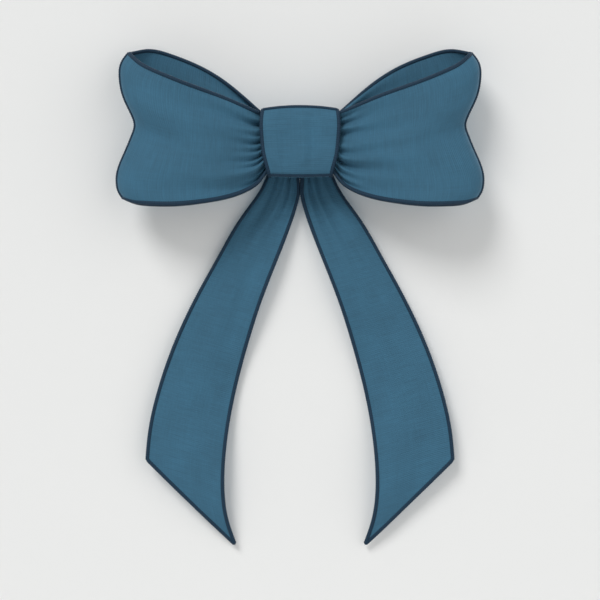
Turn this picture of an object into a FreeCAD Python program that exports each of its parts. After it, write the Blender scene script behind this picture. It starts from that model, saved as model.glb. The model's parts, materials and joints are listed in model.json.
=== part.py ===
import FreeCAD, Part
import math
import os
import Sketcher

# A wide-loop gift bow of wire-edged ribbon, seen from the front with +X right and +Z up.
# The origin is the centre of the adhesive pad's back face.  The bow lies on the -Y side of it.
# The left half is drawn once.  The right half is its mirror image.

V = FreeCAD.Vector
doc = FreeCAD.newDocument("GiftBow")

# ---------------------------------------------------------------- sizes, in millimetres
sizes = doc.addObject("Spreadsheet::Sheet", "Sizes")
SIZES = [
    ("loop_reach", 118.0),        # centre of the bow to the outer fold of a loop
    ("loop_rise", 60.5),          # centre of the knot to the top of the loops
    ("loop_drop", 43.0),          # centre of the knot to the bottom of the loops
    ("loop_depth", 39.0),         # front layer to back layer where the loop is fullest
    ("loop_back", 5.0),           # mounting plane to the back layer of a loop
    ("knot_half_width", 26.2),
    ("knot_half_height", 23.1),
    ("knot_depth", 24.4),
    ("tail_drop", 270.0),         # centre of the knot to the tip of a tail
    ("tail_spread", 103.0),       # centre line to the outer corner of a tail
    ("tail_root_half", 24.0),     # half the width of the two tails together at the knot
    ("tail_wave", 4.6),           # how far the waves of a tail stand forward of its root
    ("ribbon_thickness", 1.0),
    ("edging_width", 2.4),
    ("edging_thickness", 1.8),
    ("wire_size", 0.5),
    ("wire_inset", 1.0),          # outer side of an edge wire from the edge of the ribbon
    ("root_radius", 4.3),         # gathered root of a loop, rounded about its bending line
    ("tail_root_radius", 1.6),
    ("flex_clearance", 0.3),      # between the two sides of every bending line
    ("layer_clearance", 0.7),     # between the centre band and what it wraps
    ("pad_thickness", 1.6),
    ("pad_diameter", 32.0),
    ("patch_thickness", 1.4),
    ("patch_width", 40.0),
    ("patch_height", 34.0),
    ("tail_fold_thickness", 3.2),
    ("binding_width", 3.6),
    ("binding_thickness", 1.0),
    ("binding_pinch", 4.0),       # how far the binding wire draws the waist in
    ("fold_bead", 1.2),           # half the width of the stitched pintuck on a fold
    # Where the ribbon enters the centre band.
    ("mouth_inset", 1.2),         # bending line of a loop, in from the widest part of the band
    ("mouth_shoulder", 4.0),      # top of the knot down to the top of a loop at the band
    ("mouth_chin", 2.1),          # bottom of the knot up to the bottom of a loop at the band
    ("mouth_floor", 1.7),         # from the bending line in to where the lower edge runs level
    ("root_inside", 12.0),        # how far the drawn layers run on into the band
    ("root_solid", 4.0),          # how far the solid root of a loop runs past its bending line
    ("root_hollow", 2.4),         # half the width of the solid root where the hollow starts
    ("wire_setback", 1.0),        # end of a loop's edge wire from the bending line and the root's side
    ("bead_bite", 0.3),           # how far a pintuck sits in from the middle of the fold
    ("bead_proud", 0.6),          # how far a pintuck's crest stands past its half width
    ("tail_hinge_drop", 2.9),     # bending line of the tails below the bottom of the knot
    ("tail_gap_half", 0.4),       # half the gap between the two tails at the knot
    ("tail_root_reach", 6.0),     # drawn outline of a tail above its bending line
    ("tail_wire_reach", 8.0),     # the same for the zones that part its edge wires
    # Rounded corners of the centre band, seen from the side.
    ("back_corner", 4.0),
    ("back_corner_in", 1.2),
    ("front_corner", 5.0),
    ("front_corner_drop", 4.6),
    ("front_corner_in", 2.0),
    ("front_corner_down", 1.3),
    ("front_face_in", 0.7),       # flat ends of the front face, behind its middle
    ("front_bulge", 0.5),         # how far the middle of the front face stands forward
    # Outline of the centre band, seen from the front.
    ("barrel_shoulder", 4.0),     # height below the top where the sides start to bulge
    ("barrel_bulge", 0.5),
    ("barrel_bulge_z", 8.0),
    ("barrel_taper", 4.9),        # how much narrower each side is at the bottom
    ("barrel_flare", 1.0),        # further change of width over the outline's overshoot
    ("barrel_over", 9.0),         # overshoot of the outline above and below the knot
    # Inside and behind the centre band.
    ("waist_short", 3.5),         # end of the waist from a loop's bending line
    ("binding_gap", 0.3),         # each side of the binding wire in its groove
    ("fold_side_gap", 0.6),       # sides of the tails' middle, in from the tails' own sides
    ("fold_foot_gap", 0.5),       # foot of the tails' middle, above their bending line
    ("fold_neck_in", 2.5),
    ("fold_neck_rise", 14.0),
    ("fold_head_in", 6.0),
    ("fold_head_drop", 8.0),
    ("fold_crown_drop", 5.0),
    ("margin", 20.0),             # how far trimming solids overshoot the bow
]
for row, (alias, value) in enumerate(SIZES, start=1):
    sizes.set(f"A{row}", alias)
    sizes.set(f"B{row}", str(value))
    sizes.setAlias(f"B{row}", alias)

# Lengths worked out from the sizes above.
DERIVED = [
    ("band_back", "=pad_thickness + patch_thickness + tail_fold_thickness + layer_clearance"),
    ("band_front", "=band_back + knot_depth"),
    ("hinge_y", "=(band_back + band_front) / 2"),
    ("hinge_x", "=knot_half_width - mouth_inset"),
    ("tail_hinge_y", "=pad_thickness + patch_thickness + tail_fold_thickness / 2"),
    ("tail_hinge_z", "=knot_half_height + tail_hinge_drop"),
    ("loop_run", "=loop_reach - hinge_x"),
    ("loop_middle", "=loop_back + loop_depth / 2"),
    ("tail_length", "=tail_drop - tail_hinge_z"),
    ("mouth_top", "=knot_half_height - mouth_shoulder"),
    ("mouth_bottom", "=knot_half_height - mouth_chin"),
    ("rise_run", "=loop_rise - mouth_top"),
    ("drop_run", "=loop_drop - mouth_bottom"),
]
for row, (alias, formula) in enumerate(DERIVED, start=len(SIZES) + 1):
    sizes.set(f"A{row}", alias)
    sizes.set(f"B{row}", formula)
    sizes.setAlias(f"B{row}", alias)
doc.recompute()

PLANES = {
    "XY": FreeCAD.Rotation(),
    "XZ": FreeCAD.Rotation(V(1, 0, 0), 90),
    "YZ": FreeCAD.Rotation(V(1, 1, 1), 120),
}
ALONG = {"XY": V(0, 0, 1), "XZ": V(0, -1, 0), "YZ": V(1, 0, 0)}
DIAGONAL = math.sqrt(0.5)


def value_of(expression):
    """The number an expression on the sheet comes to."""
    return float(sizes.evalExpression(expression))


def circle_through(a, b, c):
    """The circle through three points of a sketch."""
    d = 2 * (a.x * (b.y - c.y) + b.x * (c.y - a.y) + c.x * (a.y - b.y))
    aa = a.x * a.x + a.y * a.y
    bb = b.x * b.x + b.y * b.y
    cc = c.x * c.x + c.y * c.y
    x = (aa * (b.y - c.y) + bb * (c.y - a.y) + cc * (a.y - b.y)) / d
    y = (aa * (c.x - b.x) + bb * (a.x - c.x) + cc * (b.x - a.x)) / d
    centre = V(x, y, 0)
    return Part.Circle(centre, V(0, 0, 1), centre.distanceToPoint(a))


def place_point(sketch, geometry, which, point, expressions):
    """Hold one point of a sketch at the place its two expressions give."""
    for kind, value, expression in (
        ("DistanceX", point.x, expressions[0]),
        ("DistanceY", point.y, expressions[1]),
    ):
        index = sketch.addConstraint(Sketcher.Constraint(kind, -1, 1, geometry, which, value))
        sketch.setExpression(f"Constraints[{index}]", expression)


def outline(name, plane, corners):
    """A closed outline.  A corner is (a, b), or (a, b, via) when an arc leaves it through via."""
    sketch = doc.addObject("Sketcher::SketchObject", name)
    sketch.Placement = FreeCAD.Placement(V(0, 0, 0), PLANES[plane])
    points = [V(value_of(c[0]), value_of(c[1]), 0) for c in corners]
    edges = []
    for i, corner in enumerate(corners):
        start = points[i]
        end = points[(i + 1) % len(corners)]
        if len(corner) == 2:
            edge = sketch.addGeometry(Part.LineSegment(start, end))
            edges.append((edge, 1, 2))
            continue
        via = V(value_of(corner[2][0]), value_of(corner[2][1]), 0)
        turns_left = (via - start).cross(end - via).z > 0
        circle = circle_through(start, via, end)
        first, last = (start, end) if turns_left else (end, start)
        a0 = circle.parameter(first)
        a1 = circle.parameter(last)
        if a1 < a0:
            a1 += 2 * math.pi
        edge = sketch.addGeometry(Part.ArcOfCircle(circle, a0, a1))
        edges.append((edge, 1, 2) if turns_left else (edge, 2, 1))
        middle = sketch.addGeometry(Part.Point(via), True)
        place_point(sketch, middle, 1, via, corner[2])
        sketch.addConstraint(Sketcher.Constraint("PointOnObject", middle, 1, edge))
    for i, corner in enumerate(corners):
        edge, start_end, _ = edges[i]
        before, _, end_end = edges[i - 1]
        place_point(sketch, edge, start_end, points[i], corner)
        sketch.addConstraint(Sketcher.Constraint("Coincident", before, end_end, edge, start_end))
    sketch.Visibility = False
    return sketch


def offset(name, source, expression):
    """The outline grown (or shrunk, when negative) by a distance."""
    face = doc.addObject("Part::Face", f"{name}_face")
    face.Sources = [source]
    grown = doc.addObject("Part::Offset2D", name)
    grown.Source = face
    grown.Mode = "Skin"
    grown.Join = "Arc"
    grown.Value = value_of(expression)
    grown.setExpression("Value", expression)
    return grown


def extrude(name, source, plane, forward, backward="0"):
    """The outline made solid, square to its plane."""
    solid = doc.addObject("Part::Extrusion", name)
    solid.Base = source
    solid.DirMode = "Custom"
    solid.Dir = ALONG[plane]
    solid.Solid = True
    solid.setExpression("LengthFwd", forward)
    solid.setExpression("LengthRev", backward)
    return solid


def common(name, *items):
    both = doc.addObject("Part::MultiCommon", name)
    both.Shapes = list(items)
    return both


def fuse(name, *items):
    whole = doc.addObject("Part::MultiFuse", name)
    whole.Shapes = list(items)
    whole.Refine = True
    return whole


def cut(name, base, tool):
    rest = doc.addObject("Part::Cut", name)
    rest.Base = base
    rest.Tool = tool
    return rest


def block(name, low, high):
    """A plain box between two corners given as expressions."""
    box = doc.addObject("Part::Box", name)
    for axis, size, a, b in zip("xyz", ("Length", "Width", "Height"), low, high):
        box.setExpression(f"Placement.Base.{axis}", a)
        box.setExpression(size, f"({b}) - ({a})")
    return box


def mirror(name, source):
    """The same piece on the other side of the bow."""
    image = doc.addObject("Part::Mirroring", name)
    image.Source = source
    image.Normal = V(1, 0, 0)
    image.Base = V(0, 0, 0)
    return image


nodes = {}


def node(name, item):
    """Name a finished piece of the bow."""
    item.Label = name
    nodes[name] = item
    return item


# ---------------------------------------------------------------- loops
def loop_x(fraction):
    """A place along a loop: 0 at its bending line, 1 at its outer fold."""
    return f"-(Sizes.hinge_x + {fraction} * Sizes.loop_run)"


def layer_y(side, fraction):
    """A place across a loop: from the middle (0) to the front or back layer (1)."""
    sign = "-" if side == "front" else "+"
    mid = f"(Sizes.hinge_y + ({fraction}) * (Sizes.loop_middle - Sizes.hinge_y))"
    return f"-{mid} {sign} ({fraction}) * Sizes.loop_depth / 2"


# Places along a layer of a loop, and how far each stands from the middle towards the fullest part.
BELLY = [(0.11, 0.36), (0.34, 0.80), (0.66, 1.0), (0.87, 0.74)]
# The inside of an outer fold is drawn in by this many half thicknesses.
FOLD_INSIDE = 1.6


def layer_outline(name, side, half):
    """Plan of the front or back layer of a loop, half thick to each side of its middle."""
    out = "-" if side == "front" else "+"
    into = "+" if side == "front" else "-"
    root_y = "-Sizes.hinge_y"
    outer = [(loop_x(f), f"{layer_y(side, g)} {out} {half}") for f, g in BELLY]
    inner = [(loop_x(f), f"{layer_y(side, g)} {into} {half}") for f, g in BELLY]
    fold_y = "-Sizes.loop_middle"
    tip = (f"-(Sizes.loop_reach + {half})", fold_y)
    hollow_tip = (f"-(Sizes.loop_reach - {half} * {FOLD_INSIDE})", fold_y)
    return outline(name, "XY", [
        ("-(Sizes.hinge_x - Sizes.root_radius)", root_y,
         (f"-(Sizes.hinge_x - {DIAGONAL} * Sizes.root_radius)",
          f"{root_y} {out} {DIAGONAL} * Sizes.root_radius")),
        ("-Sizes.hinge_x", f"{root_y} {out} Sizes.root_radius"),
        (outer[0][0], outer[0][1], outer[1]),
        (outer[2][0], outer[2][1], outer[3]),
        tip,
        (hollow_tip[0], hollow_tip[1], inner[3]),
        (inner[2][0], inner[2][1], inner[1]),
        inner[0],
        ("-(Sizes.hinge_x + Sizes.root_solid)", f"{root_y} {out} Sizes.root_hollow"),
        ("-(Sizes.hinge_x + Sizes.root_solid)", root_y),
    ])


def wire_plan(name, side):
    """Plan of an edge wire in the front or back layer of a loop."""
    out = "-" if side == "front" else "+"
    into = "+" if side == "front" else "-"
    half = "Sizes.wire_size / 2"
    outer = [(loop_x(f), f"{layer_y(side, g)} {out} {half}") for f, g in BELLY]
    inner = [(loop_x(f), f"{layer_y(side, g)} {into} {half}") for f, g in BELLY]
    root_x = "-(Sizes.hinge_x + Sizes.wire_setback)"
    root_y = f"-Sizes.hinge_y {out} (Sizes.root_radius - Sizes.wire_setback)"
    fold_y = "-Sizes.loop_middle"
    return outline(name, "XY", [
        (root_x, f"{root_y} {out} {half}"),
        (outer[0][0], outer[0][1], outer[1]),
        (outer[2][0], outer[2][1], outer[3]),
        (f"-(Sizes.loop_reach + {half})", fold_y),
        (f"-(Sizes.loop_reach - {half} * {FOLD_INSIDE})", fold_y, inner[3]),
        (inner[2][0], inner[2][1], inner[1]),
        inner[0],
        (root_x, f"{root_y} {into} {half}"),
    ])


def rise(fraction):
    """A height on a loop's upper edge: 0 at the band, 1 at the highest point."""
    return f"Sizes.mouth_top + {fraction} * Sizes.rise_run"


def drop(fraction):
    """A height on a loop's lower edge: 0 at the band, 1 at the lowest point."""
    return f"-(Sizes.mouth_bottom + {fraction} * Sizes.drop_run)"


BEYOND = "-(Sizes.loop_reach + Sizes.margin)"
INSIDE = "-(Sizes.hinge_x - Sizes.root_inside)"
LOWER_EDGE = [
    (BEYOND, drop(0.70)),
    (loop_x(1.02), drop(0.70), (loop_x(0.64), drop(1.0))),
    (loop_x(0.17), drop(0.61)),
    (loop_x(0.03), drop(0.33)),
    ("-(Sizes.hinge_x - Sizes.mouth_floor)", drop(0)),
    (INSIDE, drop(0)),
]
FRONT_EDGE = [
    (INSIDE, rise(-0.02)),
    (loop_x(0.02), rise(0), (loop_x(0.46), rise(0.32))),
    (loop_x(0.80), rise(0.62)),
    (loop_x(1), rise(0.94)),
    (BEYOND, rise(0.94)),
]
BACK_EDGE = [
    (INSIDE, rise(-0.02)),
    (loop_x(0.02), rise(0.02), (loop_x(0.27), rise(0.50))),
    (loop_x(0.50), rise(0.81), (loop_x(0.75), rise(0.995))),
    (loop_x(0.95), rise(0.99)),
    (loop_x(1), rise(0.94)),
    (BEYOND, rise(0.94)),
]
# The front and back layers of a loop, seen from the front.
faces = {
    "front": outline("front_layer_face", "XZ", FRONT_EDGE + LOWER_EDGE),
    "back": outline("back_layer_face", "XZ", BACK_EDGE + LOWER_EDGE),
}
DEEP = "Sizes.loop_back + Sizes.loop_depth + Sizes.margin"
TALL = "Sizes.loop_rise + Sizes.margin"
LOW = "Sizes.loop_drop + Sizes.margin"
ribbon_half = "Sizes.ribbon_thickness / 2"
edging_half = "Sizes.edging_thickness / 2"
ribbon_layers = []
edging_layers = []
wire_layers = []
for side in ("front", "back"):
    face = faces[side]
    plain = extrude(f"{side}_face_full", face, "XZ", DEEP)
    inside = extrude(f"{side}_face_ribbon", offset(f"{side}_in", face, "-Sizes.edging_width"), "XZ", DEEP)
    wire_out = extrude(f"{side}_face_wire_out", offset(f"{side}_wo", face, "-Sizes.wire_inset"), "XZ", DEEP)
    wire_in = extrude(f"{side}_face_wire_in",
                      offset(f"{side}_wi", face, "-(Sizes.wire_inset + Sizes.wire_size)"), "XZ", DEEP)
    sheet = extrude(f"{side}_sheet", layer_outline(f"{side}_plan", side, ribbon_half), "XY", TALL, LOW)
    hem = extrude(f"{side}_hem", layer_outline(f"{side}_hem_plan", side, edging_half), "XY", TALL, LOW)
    strand = extrude(f"{side}_strand", wire_plan(f"{side}_wire_plan", side), "XY", TALL, LOW)
    rim = cut(f"{side}_rim", plain, inside)
    groove = cut(f"{side}_groove", wire_out, wire_in)
    ribbon_layers.append(common(f"{side}_ribbon", sheet, inside))
    edging_layers.append(common(f"{side}_edging", hem, rim))
    wire_layers.append(common(f"{side}_wire", strand, groove))

left_loop = fuse("LeftLoop", *ribbon_layers)
loop_edging = fuse("LoopEdging", *edging_layers)
loop_wires = fuse("LoopWires", *wire_layers)
upper = block("upper_half", (BEYOND, f"-({DEEP})", "0"), ("0", "0", TALL))
lower = block("lower_half", (BEYOND, f"-({DEEP})", f"-({LOW})"), ("0", "0", "0"))
edging_body = cut("LoopEdgingBody", loop_edging, loop_wires)
left = {"loop": left_loop}
for name, half in (("upper", upper), ("lower", lower)):
    left[f"loop_{name}_edging"] = common(f"{name}_edging_piece", edging_body, half)
    left[f"loop_{name}_wire"] = common(f"{name}_wire_piece", loop_wires, half)

# The stitched pintuck that runs down the outer fold, between the two edgings.
BEAD_FOOT = "Sizes.fold_bead * 0.75"
bead_plan = outline("fold_bead_plan", "XY", [
    ("-(Sizes.loop_reach - Sizes.bead_bite)", f"-Sizes.loop_middle - {BEAD_FOOT}",
     ("-(Sizes.loop_reach + Sizes.fold_bead + Sizes.bead_proud)", "-Sizes.loop_middle")),
    ("-(Sizes.loop_reach - Sizes.bead_bite)", f"-Sizes.loop_middle + {BEAD_FOOT}"),
])
bead_run = extrude("fold_bead_run", bead_plan, "XY", TALL, LOW)
bead_trim = common("fold_bead_trim", bead_run, doc.getObject("front_face_ribbon"))
left["loop_fold_stitching"] = cut("FoldStitching", bead_trim, left_loop)

# ---------------------------------------------------------------- tails
def tail_x(fraction):
    return f"-({fraction} * Sizes.tail_spread)"


def tail_z(fraction):
    """A place down a tail: 0 at its bending line, 1 at its tip."""
    return f"-(Sizes.tail_hinge_z + {fraction} * Sizes.tail_length)"


ROOT_OUT = "-Sizes.tail_root_half"
ROOT_TOP = "-(Sizes.tail_hinge_z - Sizes.tail_root_reach)"
tail_face = outline("tail_face", "XZ", [
    ("-Sizes.tail_gap_half", ROOT_TOP),
    ("-Sizes.tail_gap_half", tail_z(0.045), (tail_x(0.264), tail_z(0.338))),
    (tail_x(0.462), tail_z(0.658), (tail_x(0.492), tail_z(0.832))),
    (tail_x(0.403), tail_z(1)),
    (tail_x(1), tail_z(0.760), (tail_x(0.927), tail_z(0.586))),
    (tail_x(0.757), tail_z(0.393), (f"{tail_x(0.398)} + 0.5 * ({ROOT_OUT})", tail_z(0.195))),
    (ROOT_OUT, tail_z(0.01)),
    (ROOT_OUT, ROOT_TOP),
])


# Places down a tail, and how far each stands forward of its root as parts of the wave's height.
WAVE = [(0.066, 0.13), (0.25, 0.70), (0.40, 0.35), (0.52, -0.04), (0.65, 0.39), (0.80, 1.0), (1.03, 0.09)]


def wave(half, root):
    """Side view of a tail: a shallow wave, half thick to each side, with its root's corners."""
    y = "-Sizes.tail_hinge_y"
    ahead = [(f"{y} - {d} * Sizes.tail_wave - {half}", tail_z(f)) for f, d in WAVE]
    behind = [(f"{y} - {d} * Sizes.tail_wave + {half}", tail_z(f)) for f, d in WAVE]
    return root + [
        (*ahead[0], ahead[1]),
        (*ahead[2], ahead[3]),
        (*ahead[4], ahead[5]),
        ahead[6],
        (*behind[6], behind[5]),
        (*behind[4], behind[3]),
        (*behind[2], behind[1]),
        behind[0],
    ]


ROUND_ROOT = [
    ("-Sizes.tail_hinge_y + Sizes.tail_root_radius", "-Sizes.tail_hinge_z",
     ("-Sizes.tail_hinge_y", "-(Sizes.tail_hinge_z - Sizes.tail_root_radius)")),
    ("-Sizes.tail_hinge_y - Sizes.tail_root_radius", "-Sizes.tail_hinge_z"),
]
WIRE_ROOT = [
    ("-Sizes.tail_hinge_y + Sizes.wire_size / 2", "-Sizes.tail_hinge_z"),
    ("-Sizes.tail_hinge_y - Sizes.wire_size / 2", "-Sizes.tail_hinge_z"),
]


WIDE = "Sizes.tail_spread + Sizes.margin"
FORWARD = "Sizes.tail_hinge_y + Sizes.tail_wave + Sizes.margin"
tail_full = extrude("tail_full", tail_face, "XZ", FORWARD)
tail_in = extrude("tail_in", offset("tail_face_in", tail_face, "-Sizes.edging_width"), "XZ", FORWARD)
tail_wo = extrude("tail_wire_out", offset("tail_face_wo", tail_face, "-Sizes.wire_inset"), "XZ", FORWARD)
tail_wi = extrude("tail_wire_in",
                  offset("tail_face_wi", tail_face, "-(Sizes.wire_inset + Sizes.wire_size)"), "XZ", FORWARD)
tail_sheet = extrude("tail_sheet", outline("tail_wave", "YZ", wave(ribbon_half, ROUND_ROOT)), "YZ", "0", WIDE)
tail_hem = extrude("tail_hem", outline("tail_hem_wave", "YZ", wave(edging_half, ROUND_ROOT)), "YZ", "0", WIDE)
wire_wave = outline("tail_wire_wave", "YZ", wave("Sizes.wire_size / 2", WIRE_ROOT))
tail_strand = extrude("tail_strand", wire_wave, "YZ", "0", WIDE)
left["tail"] = common("LeftTail", tail_sheet, tail_in)
tail_rim = common("tail_rim", tail_hem, cut("tail_rim_face", tail_full, tail_in))
tail_wire_ring = common("tail_wire_ring", tail_strand, cut("tail_wire_face", tail_wo, tail_wi))
# The edge wires stop short of the slanting cut.
ZONE_TOP = "-(Sizes.tail_hinge_z - Sizes.tail_wire_reach)"
MIDLINE = [(tail_x(0.117), ZONE_TOP), (tail_x(0.534), tail_z(0.393)),
           (tail_x(0.718), tail_z(0.672)), (tail_x(0.675), tail_z(0.868))]
outer_zone = extrude("outer_zone", outline("outer_zone_face", "XZ", MIDLINE + [
    (tail_x(1.12), tail_z(0.684)), (tail_x(1.12), ZONE_TOP)]), "XZ", FORWARD)
inner_zone = extrude("inner_zone", outline("inner_zone_face", "XZ", MIDLINE + [
    (tail_x(0.33), tail_z(1.006)), (tail_x(-0.05), tail_z(1.006)), (tail_x(-0.05), ZONE_TOP)]), "XZ", FORWARD)
left["tail_outer_wire"] = common("tail_outer_wire_piece", tail_wire_ring, outer_zone)
left["tail_inner_wire"] = common("tail_inner_wire_piece", tail_wire_ring, inner_zone)
tail_wires = fuse("tail_wires", left["tail_outer_wire"], left["tail_inner_wire"])
left["tail_edging"] = cut("tail_edging_piece", tail_rim, tail_wires)

for name, item in left.items():
    node(f"left_{name}", item)
    node(f"right_{name}", mirror(f"Right_{name}", item))

# ---------------------------------------------------------------- centre band
H = "Sizes.knot_half_height"
BB = "Sizes.band_back"
BF = "Sizes.band_front"
BACK_TURN = (f"-({BB} + Sizes.back_corner_in)", f"({H} - Sizes.back_corner_in)")
BACK_FLAT = (f"-{BB}", f"({H} - Sizes.back_corner)")
BACK_TOP = f"-({BB} + Sizes.back_corner)"
FRONT_TURN = (f"-({BF} - Sizes.front_corner_in)", f"({H} - Sizes.front_corner_down)")
FRONT_FLAT = (f"-({BF} - Sizes.front_face_in)", f"({H} - Sizes.front_corner_drop)")
FRONT_TOP = f"-({BF} - Sizes.front_corner)"
band_round = outline("band_round", "YZ", [
    (BACK_FLAT[0], f"-{BACK_FLAT[1]}", (BACK_TURN[0], f"-{BACK_TURN[1]}")),
    (BACK_TOP, f"-{H}"),
    (FRONT_TOP, f"-{H}", (FRONT_TURN[0], f"-{FRONT_TURN[1]}")),
    (FRONT_FLAT[0], f"-{FRONT_FLAT[1]}", (f"-({BF} + Sizes.front_bulge)", "0")),
    (*FRONT_FLAT, FRONT_TURN),
    (FRONT_TOP, H),
    (BACK_TOP, H, BACK_TURN),
    BACK_FLAT,
])
TH = "Sizes.ribbon_thickness"
ET = "Sizes.edging_thickness"
SPAN = "Sizes.knot_half_width + Sizes.margin"


def band_layer(name, out, into):
    """A closed wall round the knot between two distances from its outer face."""
    a = extrude(f"{name}_a", offset(f"{name}_ao", band_round, out), "YZ", SPAN, SPAN)
    b = extrude(f"{name}_b", offset(f"{name}_bo", band_round, into), "YZ", SPAN, SPAN)
    return cut(name, a, b)


band_block = extrude("band_block", band_round, "YZ", SPAN, SPAN)
band_wall = cut(
    "band_wall", band_block,
    extrude("band_wall_b", offset("band_wall_bo", band_round, f"-{TH}"), "YZ", SPAN, SPAN))
hem_wall = band_layer("hem_wall", f"({ET} - {TH}) / 2", f"-({ET} + {TH}) / 2")
wire_wall = band_layer("wire_wall", f"-({TH} - Sizes.wire_size) / 2", f"-({TH} + Sizes.wire_size) / 2")
W = "Sizes.knot_half_width"
SHOULDER = f"{H} - Sizes.barrel_shoulder"
BULGE = (f"({W} + Sizes.barrel_bulge)", "Sizes.barrel_bulge_z")
TAPER = f"({W} - Sizes.barrel_taper)"
TOP_END = (f"({W} - Sizes.barrel_flare)", f"{H} + Sizes.barrel_over")
LOW_END = (f"({TAPER} - Sizes.barrel_flare)", f"-({H} + Sizes.barrel_over)")
barrel = outline("band_face", "XZ", [
    (f"-{TOP_END[0]}", TOP_END[1]),
    (f"-{W}", SHOULDER, (f"-{BULGE[0]}", BULGE[1])),
    (f"-{TAPER}", f"-{H}"),
    (f"-{LOW_END[0]}", LOW_END[1]),
    LOW_END,
    (TAPER, f"-{H}", BULGE),
    (W, SHOULDER),
    TOP_END,
])
REACH = "Sizes.band_front + Sizes.margin"
barrel_full = extrude("barrel_full", barrel, "XZ", REACH)
barrel_in = extrude("barrel_in", offset("barrel_fi", barrel, "-Sizes.edging_width"), "XZ", REACH)
barrel_wo = extrude("barrel_wo", offset("barrel_fwo", barrel, "-Sizes.wire_inset"), "XZ", REACH)
barrel_wi = extrude("barrel_wi",
                    offset("barrel_fwi", barrel, "-(Sizes.wire_inset + Sizes.wire_size)"), "XZ", REACH)
node("centre_band", common("CentreBand", band_wall, barrel_in))
band_rim = common("band_rim", hem_wall, cut("barrel_rim", barrel_full, barrel_in))
band_wires = common("band_wires", wire_wall, cut("barrel_groove", barrel_wo, barrel_wi))
OVER = f"({H} + Sizes.margin)"
left_side = block("left_side", (f"-({SPAN})", f"-({REACH})", f"-{OVER}"), ("0", "0", OVER))
right_side = block("right_side", ("0", f"-({REACH})", f"-{OVER}"), (SPAN, "0", OVER))
band_hem = cut("band_hem", band_rim, band_wires)
for name, half in (("left", left_side), ("right", right_side)):
    node(f"band_{name}_edging", common(f"band_{name}_edging_piece", band_hem, half))
    node(f"band_{name}_wire", common(f"band_{name}_wire_piece", band_wires, half))

# The stitched pintucks along the band's upper and lower front folds, between its two edgings.
for name, sign in (("upper", ""), ("lower", "-")):
    bead = doc.addObject("Part::Cylinder", f"{name}_band_bead")
    bead.Placement = FreeCAD.Placement(V(0, 0, 0), FreeCAD.Rotation(V(0, 1, 0), 90))
    bead.setExpression("Radius", "Sizes.fold_bead")
    bead.setExpression("Height", f"2 * ({SPAN})")
    bead.setExpression("Placement.Base.x", f"-({SPAN})")
    bead.setExpression("Placement.Base.y", FRONT_TURN[0])
    bead.setExpression("Placement.Base.z", f"{sign}{FRONT_TURN[1]}")
    proud = cut(f"{name}_band_bead_proud", bead, band_block)
    node(f"band_{name}_fold_stitching", common(f"{name}_band_fold_stitching", proud, barrel_in))

# ---------------------------------------------------------------- gathered waist inside the band
waist_face = offset("waist_face", band_round, f"-({TH} + Sizes.layer_clearance)")
WAIST = "Sizes.hinge_x - Sizes.waist_short"
waist_block = extrude("waist_block", waist_face, "YZ", WAIST, WAIST)
neck_face = offset("neck_face", band_round, f"-({TH} + Sizes.layer_clearance + Sizes.binding_pinch)")
groove_half = "(Sizes.binding_width / 2 + Sizes.binding_gap)"
groove_slab = extrude("groove_slab", waist_face, "YZ", groove_half, groove_half)
neck = extrude("neck", neck_face, "YZ", WAIST, WAIST)
waist_cut = cut("waist_grooved", waist_block, cut("binding_groove", groove_slab, neck))
sockets = []
for name, sign in (("left", "-"), ("right", "")):
    socket = doc.addObject("Part::Cylinder", f"{name}_socket")
    socket.setExpression("Radius", "Sizes.root_radius + Sizes.flex_clearance")
    socket.setExpression("Height", f"2 * {OVER}")
    socket.setExpression("Placement.Base.x", f"{sign}Sizes.hinge_x")
    socket.setExpression("Placement.Base.y", "-Sizes.hinge_y")
    socket.setExpression("Placement.Base.z", f"-{OVER}")
    sockets.append(socket)
node("loop_waist", cut("LoopWaist", waist_cut, fuse("sockets", *sockets)))
binding_out = offset("binding_out", neck_face, "Sizes.binding_thickness")
half_binding = "Sizes.binding_width / 2"
node("binding_wire", cut(
    "BindingWire",
    extrude("binding_a", binding_out, "YZ", half_binding, half_binding),
    extrude("binding_b", neck_face, "YZ", WAIST, WAIST)))

# ---------------------------------------------------------------- gathered middle of the tails
FOOT = ("(Sizes.tail_root_half - Sizes.fold_side_gap)", "-(Sizes.tail_hinge_z - Sizes.fold_foot_gap)")
NECK = ("(Sizes.tail_root_half - Sizes.fold_neck_in)", "-(Sizes.tail_hinge_z - Sizes.fold_neck_rise)")
HEAD = ("(Sizes.patch_width / 2 - Sizes.fold_head_in)", "Sizes.patch_height / 2 - Sizes.fold_head_drop")
fold_face = outline("tail_fold_face", "XZ", [
    (f"-{FOOT[0]}", FOOT[1]),
    FOOT,
    NECK,
    (*HEAD, ("0", "Sizes.patch_height / 2 - Sizes.fold_crown_drop")),
    (f"-{HEAD[0]}", HEAD[1]),
    (f"-{NECK[0]}", NECK[1]),
])
fold_front = "Sizes.pad_thickness + Sizes.patch_thickness + Sizes.tail_fold_thickness"
fold_back = "-(Sizes.pad_thickness + Sizes.patch_thickness)"
fold_block = extrude("tail_fold_block", fold_face, "XZ", fold_front, fold_back)
lip = doc.addObject("Part::Cylinder", "tail_fold_lip")
lip.Placement = FreeCAD.Placement(V(0, 0, 0), FreeCAD.Rotation(V(0, 1, 0), 90))
lip.setExpression("Radius", "Sizes.tail_root_radius + Sizes.flex_clearance")
lip.setExpression("Height", f"2 * ({WIDE})")
lip.setExpression("Placement.Base.x", f"-({WIDE})")
lip.setExpression("Placement.Base.y", "-Sizes.tail_hinge_y")
lip.setExpression("Placement.Base.z", "-Sizes.tail_hinge_z")
node("tail_fold", cut("TailFold", fold_block, lip))

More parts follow.
